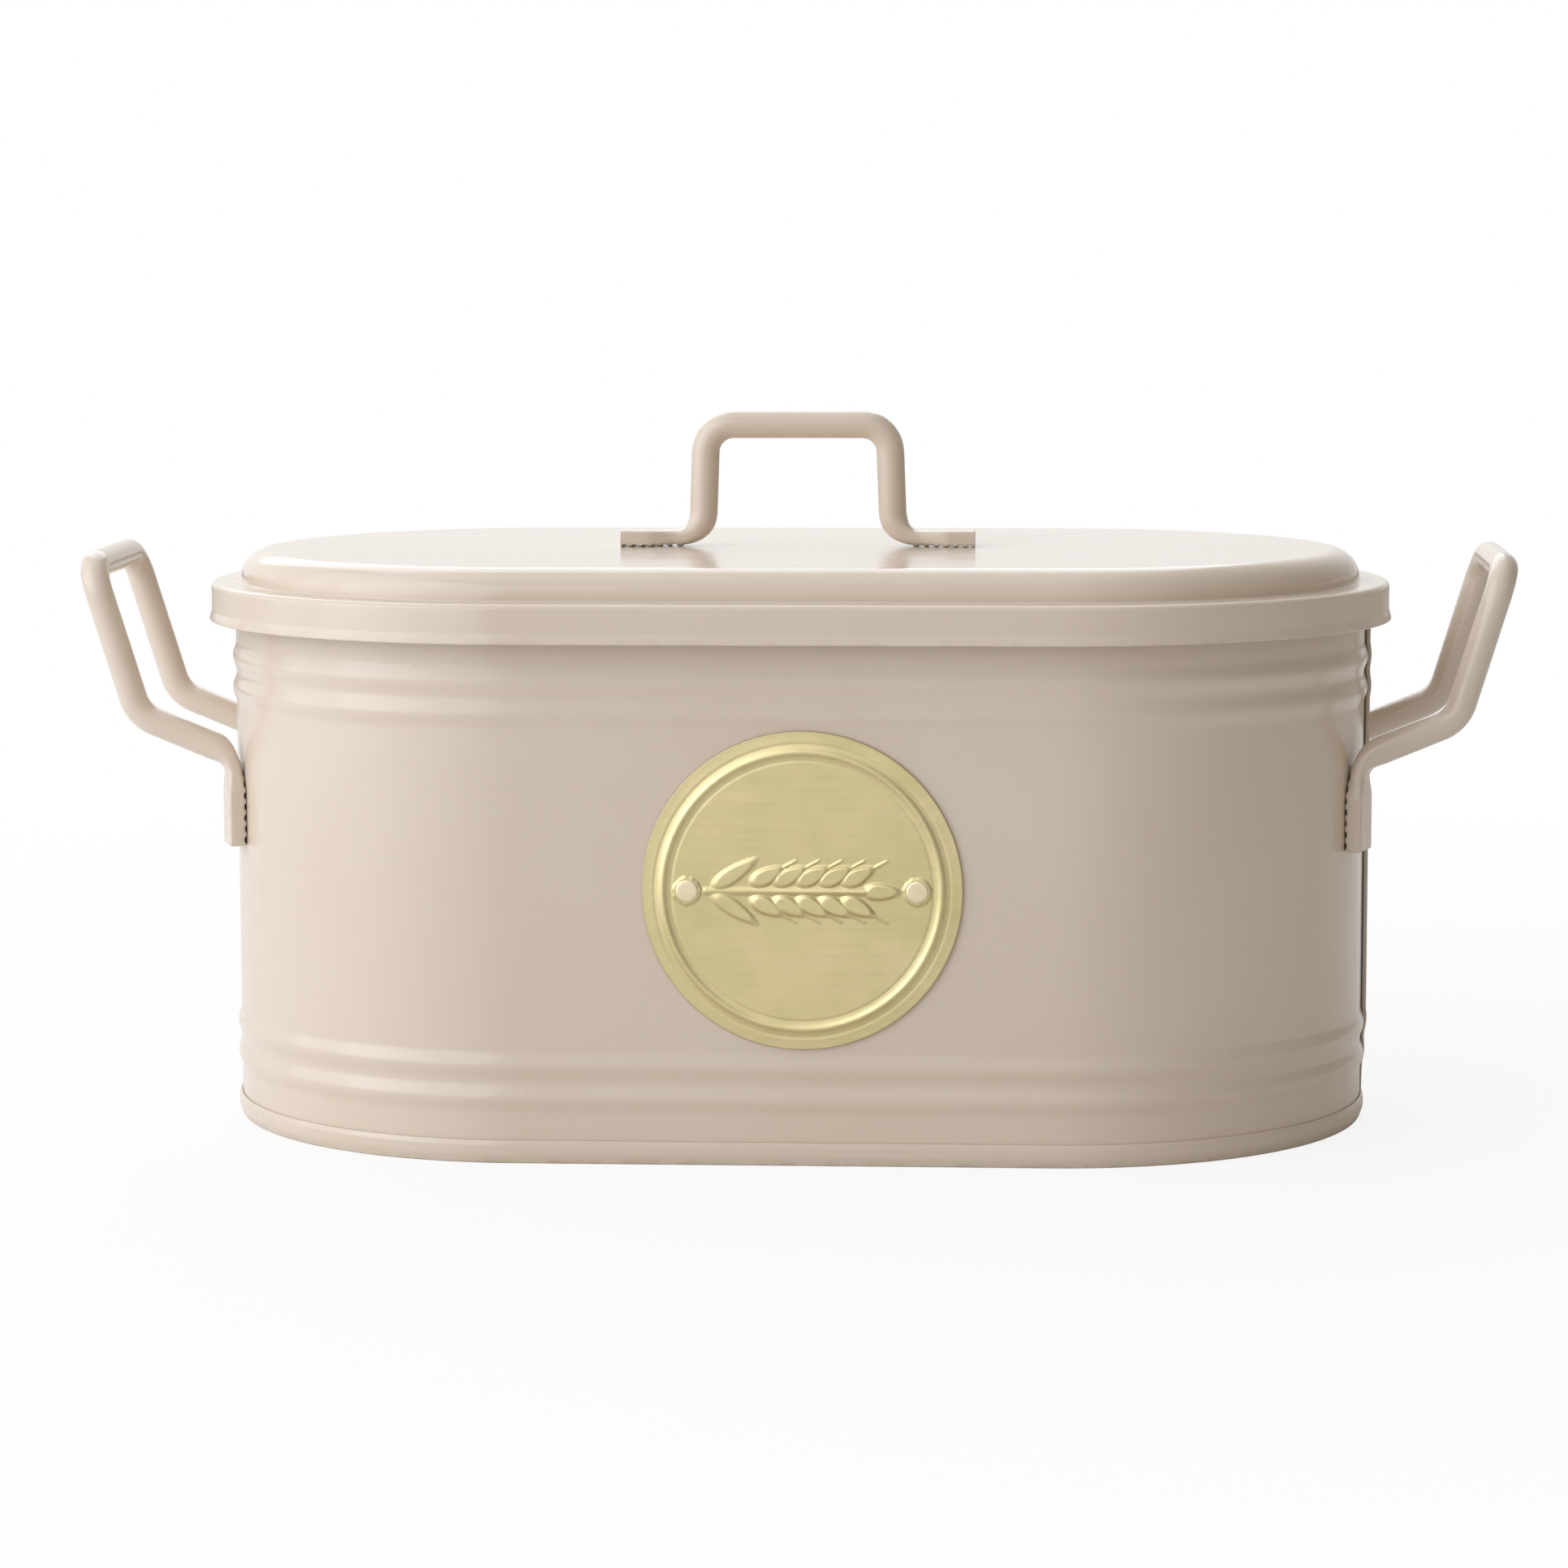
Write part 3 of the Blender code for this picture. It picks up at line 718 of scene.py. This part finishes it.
# Rod along half a path from the end of a foot to the rod's middle. Each section is a
# superellipse, from the foot's blunt oblong to the rod's circle, on a frame that is carried
# along the path; the other half is its mirror image, with teeth of its own.
# The foot's inner face has welding teeth that reach across the gap to the sheet.
def addRod(name, halfPath, footNormal, mirrored, foot, material, body, node, seed):
    values = rodShape
    draw = np.random.default_rng(seed)
    length = travelled(halfPath)[-1]
    fine = foot["length"] + foot["blend"]
    places = np.concatenate([[0.0, values["chamfer"]],
                             np.arange(2 * values["footStep"], fine, values["footStep"]),
                             np.linspace(fine, length, round((length - fine) / values["step"]))])
    centres = resample(halfPath, places)
    tangents = unit(np.gradient(centres, axis=0))
    normals, wides = carriedFrames(tangents, footNormal)

    widening = smoothStep(places, foot["length"] - foot["shoulder"], foot["length"])[:, None]
    swelling = smoothStep(places, foot["length"], fine)[:, None]
    halfThin = (values["footThick"] + (values["rod"] - values["footThick"]) * swelling) / 2
    halfWide = (values["footWide"] + (values["rod"] - values["footWide"]) * widening) / 2
    power = values["footCorner"] + (1 - values["footCorner"]) * (widening + swelling) / 2
    shrink = np.where(places < values["chamfer"] / 2, values["chamfer"], 0.0)[:, None]
    angles = wholeTurn(values["around"], 0.5)
    cosine, sine = np.cos(angles), np.sin(angles)
    across = (halfThin - shrink) * np.sign(cosine) * np.abs(cosine) ** power
    level = (halfWide - shrink) * np.sign(sine) * np.abs(sine) ** power

    bend = np.gradient(tangents, axis=0) / np.gradient(places)[:, None]
    tightness = np.linalg.norm(bend, axis=1, keepdims=True)
    towards = bend / np.maximum(tightness, 1e-9)
    facing = (cosine * np.sum(towards * normals, 1, keepdims=True)
              + sine * np.sum(towards * wides, 1, keepdims=True))
    buckle = (values["wrinkle"] * np.clip(tightness / values["wrinkleFrom"], 0, 1)
              * np.clip(facing, 0, 1) ** 4
              * np.sin(2 * math.pi * places / values["wrinkleLength"])[:, None] * swelling)
    radial = cosine[None, :, None] * normals[:, None] + sine[None, :, None] * wides[:, None]

    inner = smoothStep(-across / halfThin, *values["toothFace"])
    toothed = 1 - smoothStep(places, foot["toothed"], foot["toothed"] + values["toothFade"])
    hug = level ** 2 / 2 * foot["sheetCurve"]
    cutShare = 1 - smoothStep(places, 0.0, values["cutReach"])
    sides, notchShade = [], []
    for side in range(2):
        notch = notches(places, foot["pitch"], draw)
        press = (toothed * (pieceGap - values["toothRoom"] - notch))[:, None] + hug * toothed[:, None]
        slant = draw.uniform(-1, 1, 2) * values["cutSlant"] * 2 / values["footWide"]
        cut = (slant[0] * level + slant[1] * across * 2) * cutShare[:, None]
        sides.append(centres[:, None] + normals[:, None] * (across - inner * press)[:, :, None]
                     + wides[:, None] * level[:, :, None] + radial * buckle[:, :, None]
                     + tangents[:, None] * cut[:, :, None])
        # Painted shade in the notches between the welding teeth, the more the deeper the notch
        notchShade.append(inner * (toothed * np.clip(notch / values["notchDepth"][0], 0, 1))[:, None])
    grid = np.concatenate([sides[0], (sides[1] * np.array(mirrored))[::-1][1:]])
    ends = 1 - smoothStep(places, 0.0, values["endWear"])
    wear = 0.75 * np.concatenate([ends, ends[::-1][1:]])
    paintedShade = 0.8 * np.concatenate([notchShade[0], notchShade[1][::-1][1:]])
    addPiece(name, grid, (False, True), material, body, node, wear[:, None], paintedShade)


sideHandleShape = {
    "spacing": 0.0640,  # between the two arms
    "footTop": 0.0267,  # where an arm turns away, above the foot's end
    "footBend": 0.0095,
    "elbow": (0.0250, 0.0382),  # beyond the body's end, and above the foot's end
    "elbowBend": 0.0110,
    "handBend": 0.0085,
    "foot": {"length": 0.0232, "blend": 0.0080, "shoulder": 0.0080, "pitch": 0.00328,
             "toothed": 0.0235, "sheetCurve": 1 / endRadius},
}


# Half of a side handle: up from the foot's end, out to the elbow, up to the hand bar and
# along it to the middle; the feet are turned to lie flat on the round end of the wall
def addSideHandle(name, node, end, material, seed):
    values = sideHandleShape
    low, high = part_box(node)
    reach = high.x if end > 0 else -low.x
    footRadius = endRadius + pieceGap + rodShape["footThick"] / 2
    turn = math.asin(values["spacing"] / 2 / footRadius)
    footReach = halfStraight + footRadius * math.cos(turn)
    bodyEnd = halfStraight + endRadius
    front = -values["spacing"] / 2
    bar = reach - rodShape["rod"] / 2
    elbowOut, elbowUp = values["elbow"]
    corners = [(footReach, front, low.z), (footReach, front, low.z + values["footTop"]),
               (bodyEnd + elbowOut, front, low.z + elbowUp),
               (bar, front, high.z - rodShape["rod"] / 2), (bar, 0, high.z - rodShape["rod"] / 2)]
    bends = (values["footBend"], values["elbowBend"], values["handBend"])
    path = roundedPath(corners, bends, 24) * np.array([end, 1, 1])
    normal = (end * math.cos(turn), -math.sin(turn), 0)
    addRod(name, path, normal, (1, -1, 1), values["foot"], material, "bin", node, seed)


lidHandleShape = {
    "legs": 0.0545,  # between the legs at the top
    "splay": 0.0012,  # how far each leg leans out by its foot
    "bend": 0.0084,
    "footBend": 0.0078,
    "foot": {"length": 0.0172, "blend": 0.0095, "shoulder": 0.0100, "pitch": 0.0029,
             "toothed": 0.0182, "sheetCurve": 0.0},
}


# Half of the lid's handle: in along the foot, up the leg and along the bar to the middle
def addLidHandle(material):
    values = lidHandleShape
    footHeight = gripLow.z + rodShape["footThick"] / 2
    top = gripHigh.z - rodShape["rod"] / 2
    corners = [(gripLow.x, 0, footHeight), (-values["legs"] / 2 - values["splay"], 0, footHeight),
               (-values["legs"] / 2, 0, top), (0, 0, top)]
    path = roundedPath(corners, (values["footBend"], values["bend"]), 24)
    addRod("lidHandle", path, (0, 0, 1), (-1, 1, 1), values["foot"], material, "lid",
           "lid_handle", 23)


# Brass plate

plateShape = {
    "sheet": 0.0005,
    "ringInset": 0.00585,  # crest of the pressed ring inside the edge
    "ringWidth": 0.0032,
    "ringRise": 0.00060,
    "groove": 0.00012,  # shallow grooves that the die leaves beside the ring
    "grooveWidth": 0.0014,
    "edgeSoft": 0.00018,
    "rimFall": 0.00034,  # how far the sheet falls from the ring to its edge
    "dish": 0.00012,
    "waves": 0.00007,  # depth of the sheet's unevenness
    "waveLengths": (0.041, 0.029, 0.021, 0.016),
    "waveEnd": 0.006,  # how far inside the ring it has died out
    "edgeWear": 0.0006,
    "collar": (0.0042, 0.00050),  # ragged burr round each rivet: radius and rise
    "collarRagged": 0.00022,
    "collarSide": 0.14,  # share of the radius over which it falls
    "collarSeeds": {"rivet_left": 10, "rivet_right": 11},
    "around": 600,
    "rings": 148,
    "backRings": 6,
}

# An ear of wheat that lies across the plate, from its stem on the left to its tip
earShape = {
    "pairs": 5,
    "firstPair": -0.0098,
    "pitch": 0.0064,
    "grain": (0.0060, 0.0027),  # half length and half width
    "grainOut": 0.0044,
    "grainTurn": 28.0,
    "tip": 0.0226,
    "leaf": (0.0088, 0.0026),
    "leafPlace": (-0.0190, 0.0050),
    "leafTurn": 34.0,
    "stemEnd": -0.0272,
    "stemWide": 0.0016,
    "awn": 0.0044,
    "awnWide": 0.00060,
    "rise": 0.00085,
    "edge": 0.42,  # share of a lobe's half width that its side takes
}


# Soft-edged pressed lobe: distance from the middle in half lengths and half widths, turned
# into a height that is full at the middle and falls smoothly to nothing at the edge
def lobe(x, y, centre, sizes, turn, rise):
    cosine, sine = math.cos(turn), math.sin(turn)
    along = ((x - centre[0]) * cosine + (y - centre[1]) * sine) / sizes[0]
    across = ((y - centre[1]) * cosine - (x - centre[0]) * sine) / sizes[1]
    taper = 1 - 0.35 * np.clip(along, -1, 1)
    distance = np.sqrt(along ** 2 + (across / taper) ** 2)
    return rise * smoothStep(1 - distance, 0.0, earShape["edge"])


# Rounded ridge between two points: its height falls with the distance from the line
def ridge(x, y, start, end, width, rise):
    run = np.array(end) - np.array(start)
    share = np.clip(((x - start[0]) * run[0] + (y - start[1]) * run[1]) / (run @ run), 0, 1)
    distance = np.hypot(x - start[0] - share * run[0], y - start[1] - share * run[1])
    return rise * smoothStep(1 - distance / width, 0.0, 1.0) * (1 - 0.5 * share)


# The ear: a stem, two leaves, pairs of grains with a whisker each, and a grain at the tip,
# joined by taking the highest at each point
def earRelief(x, y):
    values = earShape
    rise = values["rise"]
    height = ridge(x, y, (values["tip"], 0), (values["stemEnd"], 0), values["stemWide"], rise)
    height = np.maximum(height, lobe(x, y, (values["tip"], 0), values["grain"], 0.0, rise))
    turn = math.radians(values["grainTurn"])
    for side in (-1, 1):
        leafTurn = side * math.radians(values["leafTurn"])
        leafPlace = (values["leafPlace"][0], side * values["leafPlace"][1])
        height = np.maximum(height, lobe(x, y, leafPlace, values["leaf"], leafTurn, 0.8 * rise))
        for k in range(values["pairs"]):
            centre = np.array([values["firstPair"] + values["pitch"] * k, side * values["grainOut"]])
            way = np.array([math.cos(turn), side * math.sin(turn)])
            tip = centre + way * values["grain"][0] * 0.8
            awn = ridge(x, y, tip, tip + way * values["awn"], values["awnWide"], 0.55 * rise)
            grain = lobe(x, y, centre, values["grain"], side * turn, rise)
            height = np.maximum(height, np.maximum(grain, awn))
    return height


# Burr that punching left round a rivet: level out to a radius that wavers with the angle
# round it, then a steep fall
def collarRise(x, y, centre, seed):
    radius, rise = plateShape["collar"]
    angle = np.arctan2(y - centre[1], x - centre[0])
    waver = raggedness(angle, (4, 7, 11, 13), 0.4, seed) / 2.5
    distance = np.hypot(x - centre[0], y - centre[1])
    edge = radius + plateShape["collarRagged"] * waver
    return rise * smoothStep(1 - distance / edge, 0.0, plateShape["collarSide"])


# Height of the plate at each distance from its middle: one cosine wave for the ring, a
# groove on each side of it, a fall to the edge, a dished middle and a quarter circle at the edge
def plateProfile(rings, radius, crest):
    values = plateShape
    half = values["ringWidth"] / 2
    offset = rings - crest
    wave = 0.5 + 0.5 * np.cos(math.pi * offset / half)
    profile = values["ringRise"] * wave * (np.abs(offset) < half)
    beside = np.abs(np.abs(offset) - half - values["grooveWidth"] / 2)
    profile -= values["groove"] * (1 - smoothStep(beside / values["grooveWidth"] * 2))
    profile += values["rimFall"] * (1 - smoothStep(rings, crest - half, radius))
    profile -= values["dish"] * (1 - smoothStep(rings, 0, crest))
    inEdge = np.clip((rings - radius + values["edgeSoft"]) / values["edgeSoft"], 0, 1)
    return profile - values["edgeSoft"] * (1 - np.sqrt(1 - inEdge ** 2))


# The ear and the rivets' burrs, joined by taking the highest at each point
def plateRelief(x, y):
    relief = earRelief(x, y)
    for node, seed in plateShape["collarSeeds"].items():
        place = centreOf(node) - centreOf("medallion")
        relief = np.maximum(relief, collarRise(x, y, (place.x, place.z), seed))
    return relief


# Points at distances from the plate's middle, along each of the angles
def polarGrid(rings, angles):
    return rings[None, :] * np.cos(angles)[:, None], rings[None, :] * np.sin(angles)[:, None]


# Plate on a polar grid: a front with its profile and relief, and a plain back. Its height
# is the way out of the bin's front.
def addPlate(material):
    values = plateShape
    radius = (plateHigh.x - plateLow.x) / 2
    crest = radius - values["ringInset"]
    angles = wholeTurn(values["around"])
    rings = np.concatenate([np.linspace(0, radius - 0.0004, values["rings"]),
                            radius - values["edgeSoft"] * np.array([1.0, 0.5, 0.15, 0.0])])
    x, y = polarGrid(rings, angles)
    uneven = (values["waves"] * unevenness(x, y, values["waveLengths"], 17)
              * (1 - smoothStep(rings, crest - values["waveEnd"], crest)))
    height = values["sheet"] + plateProfile(rings, radius, crest) + plateRelief(x, y) - uneven
    backX, backY = polarGrid(np.linspace(radius, 0, values["backRings"]), angles)
    centre = centreOf("medallion")
    grid = np.stack([centre.x + np.concatenate([x, backX], 1),
                     plateHigh.y - np.concatenate([height, np.zeros_like(backX)], 1),
                     centre.z + np.concatenate([y, backY], 1)], 2)
    wear = 0.8 * smoothStep(rings, radius - values["edgeWear"], radius)
    wear = np.concatenate([wear, np.zeros(values["backRings"])])
    addPiece("brassPlate", grid, (True, False), material, "bin", "medallion", wear, 0, 50)


# Rivets

rivetShape = {
    "shank": 0.0036,
    "crown": 0.0060,  # flat middle of the head
    "brim": 0.00035,  # thickness of the squeezed-out brim
    "ragged": 0.00028,
    "tail": 0.0066,
    "tailThick": 0.0008,
    "room": 0.00002,  # between the rivet and the sheets that it holds
    "step": 0.0003,  # longest step of the profile
    "around": 72,
}


# Profile turned about the rivet's axis: the tail inside the wall, the shank, and a head
# whose brim is squeezed out unevenly; z is the way out of the front of the bin
def addRivet(name, node, material, seed):
    values = rivetShape
    low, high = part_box(node)
    headRadius = (high.x - low.x) / 2
    under = plateShape["sheet"] + values["room"]
    wallInside = -pieceGap - sheetThick - values["room"]
    top = plateHigh.y - low.y
    shank, crown, tail = values["shank"] / 2, values["crown"] / 2, values["tail"] / 2
    brim = under + values["brim"]
    tailEnd = wallInside - values["tailThick"]
    tailCorners = [(0.0, tailEnd), (tail - 0.0004, tailEnd), (tail, tailEnd + 0.0003),
                   (tail, wallInside), (shank, wallInside)]
    headCorners = [(shank, under), (headRadius - 0.0001, under), (headRadius, under + 0.0001),
                   (headRadius - 0.0002, brim - 0.00004), (crown + 0.0003, brim),
                   (crown + 0.00008, top - 0.00022), (crown - 0.0002, top - 0.00005),
                   (crown * 0.7, top - 0.00001), (0.0, top)]
    profile = refined(np.array(tailCorners + headCorners), values["step"])
    angles = wholeTurn(values["around"])
    rough = raggedness(angles, (5, 8, 11, 15), 0.3, seed)
    rough = values["ragged"] * (rough / np.abs(rough).max() - 1)
    inBrim = smoothStep(profile[:, 0], crown, headRadius - 0.0002) * (profile[:, 1] > 0)
    reach = profile[:, 0] + rough[:, None] * inBrim
    centre = centreOf(node)
    grid = np.stack([centre.x + reach * np.cos(angles)[:, None],
                     np.broadcast_to(plateHigh.y - profile[:, 1], reach.shape),
                     centre.z + reach * np.sin(angles)[:, None]], 2)
    addPiece(name, grid, (True, False), material, "bin", node, 0.5 * inBrim, 0, 35)


# Stage

cameraView = {
    "azimuth": 3.3,  # degrees, from straight in front towards +X
    "distance": 1.4,
    "height": 0.271,
    "pitch": 7.05,  # degrees down
    "turn": 0.182,  # aims the camera a little left of the middle
    "roll": -0.15,
    "lens": 107.8,
    "sensor": 36.0,
}


def addCamera():
    values = cameraView
    data = bpy.data.cameras.new("camera")
    data.lens = values["lens"]
    data.sensor_width = values["sensor"]
    camera = addObject("camera", data)
    azimuth = math.radians(values["azimuth"])
    place = Matrix.Translation((values["distance"] * math.sin(azimuth),
                                -values["distance"] * math.cos(azimuth), values["height"]))
    turns = ((values["azimuth"] + values["turn"], "Z"), (90 - values["pitch"], "X"),
             (values["roll"], "Z"))
    for degrees, axis in turns:
        place = place @ Matrix.Rotation(math.radians(degrees), 4, axis)
    camera.matrix_world = place
    bpy.context.scene.camera = camera


lampSettings = {
    "leftFront": {"place": (-1.10, -1.10, 0.70), "size": 1.9, "power": 15.2},
    "leftWide": {"place": (-1.50, -0.50, 0.90), "size": 1.9, "power": 9.8},
    "leftLow": {"place": (-1.40, -0.30, 0.25), "size": 1.2, "power": 1.8},
    "top": {"place": (-0.20, 0.10, 1.50), "size": 1.4, "power": 4.5},
    "topBack": {"place": (-0.30, 1.20, 1.20), "size": 1.4, "power": 10.5},
}
lampColour = (0.97, 1.03, 1.13)  # a little cooler than white


# Square area lamps, each aimed at the middle of the bin
def addLamps():
    for name, values in lampSettings.items():
        data = bpy.data.lights.new(name, "AREA")
        data.size = values["size"]
        data.energy = values["power"]
        data.color = lampColour
        lamp = addObject(name, data)
        lamp.location = values["place"]
        aim = Vector((0, 0, lidHigh.z / 2)) - lamp.location
        lamp.rotation_euler = aim.to_track_quat("-Z", "Y").to_euler()


stageSettings = {
    "ambient": 0.36,  # the world's light on matt surfaces
    "ambientColour": (1.0, 0.925, 0.820, 1),
    "whiteSide": (0.15, 0.85, 0.25),  # towards +X the white in gloss falls to the last value
    "floorColour": (0.86, 0.85, 0.84, 1),
    "floorWhite": 0.86,  # share of plain white that the camera sees near the bin
    "whiteFrom": (0.25, 0.75),  # distances over which the floor turns all white
    "floorSize": 12.0,
}


# First shader where the share is 0, second where it is 1
def mixShaders(tree, share, first, second):
    return addNode(tree, "ShaderNodeMixShader", {0: share, 1: first, 2: second}).outputs[0]


# Even light from all round
def addBackground(tree, colour, strength):
    return addNode(tree, "ShaderNodeBackground", {"Color": colour, "Strength": strength}).outputs[0]


# Matt surfaces get the soft light, the camera sees plain white, and gloss sees that white
# with the side away from the lamps turned down
def addWorld():
    world = bpy.data.worlds.new("studio")
    world.use_nodes = True
    tree = world.node_tree
    tree.nodes.clear()
    path = addNode(tree, "ShaderNodeLightPath").outputs
    way = addNode(tree, "ShaderNodeTexCoord").outputs["Generated"]
    across = addNode(tree, "ShaderNodeSeparateXYZ", {0: way}).outputs["X"]
    start, end, least = stageSettings["whiteSide"]
    sideLevel = addRange(tree, across, start, end, 1.0, least)
    mirrored = addMath(tree, "MAXIMUM", path["Is Glossy Ray"], path["Is Transmission Ray"])
    soft = addBackground(tree, stageSettings["ambientColour"], stageSettings["ambient"])
    inGloss = addBackground(tree, (1, 1, 1, 1), sideLevel)
    white = addBackground(tree, (1, 1, 1, 1), 1.0)
    light = mixShaders(tree, path["Is Camera Ray"], mixShaders(tree, mirrored, soft, inGloss), white)
    addNode(tree, "ShaderNodeOutputWorld", {"Surface": light})
    bpy.context.scene.world = world


# Plain square that keeps the bin's shadow near it and turns all white farther out
def addFloor():
    half = stageSettings["floorSize"] / 2
    mesh = bpy.data.meshes.new("floor")
    corners = [(-half, -half, baseLow.z), (half, -half, baseLow.z), (half, half, baseLow.z),
               (-half, half, baseLow.z)]
    mesh.from_pydata(corners, [], [(0, 1, 2, 3)])
    material = bpy.data.materials.new("paleFloor")
    material.use_nodes = True
    tree = material.node_tree
    tree.nodes.clear()
    matt = addNode(tree, "ShaderNodeBsdfDiffuse", {"Color": stageSettings["floorColour"]}).outputs[0]
    white = addNode(tree, "ShaderNodeEmission", {"Color": (1, 1, 1, 1), "Strength": 1.0}).outputs[0]
    place = addNode(tree, "ShaderNodeTexCoord").outputs["Object"]
    distance = addNode(tree, "ShaderNodeVectorMath", {0: place}, operation="LENGTH").outputs["Value"]
    near, far = stageSettings["whiteFrom"]
    share = addRange(tree, distance, near, far, stageSettings["floorWhite"], 1.0)
    path = addNode(tree, "ShaderNodeLightPath").outputs
    share = addMath(tree, "MULTIPLY", path["Is Camera Ray"], share)
    addNode(tree, "ShaderNodeOutputMaterial", {"Surface": mixShaders(tree, share, matt, white)})
    mesh.materials.append(material)
    addObject("floor", mesh)


def main():
    print("finishes")
    enamel = enamelMaterial()
    brass = brassMaterial("paleBrass", brassFinish)
    rivetBrass = brassMaterial("rivetBrass", rivetFinish)
    print("sheet pieces")
    addSideWall(enamel)
    addBase(enamel)
    addLid(enamel)
    print("handles")
    addSideHandle("handleLeft", "handle_left", -1, enamel, 31)
    addSideHandle("handleRight", "handle_right", 1, enamel, 37)
    addLidHandle(enamel)
    print("plate and rivets")
    addPlate(brass)
    addRivet("rivetLeft", "rivet_left", rivetBrass, 3)
    addRivet("rivetRight", "rivet_right", rivetBrass, 8)
    print("stage")
    addCamera()
    addLamps()
    addWorld()
    addFloor()
    bpy.context.scene.view_settings.view_transform = "Standard"


main()
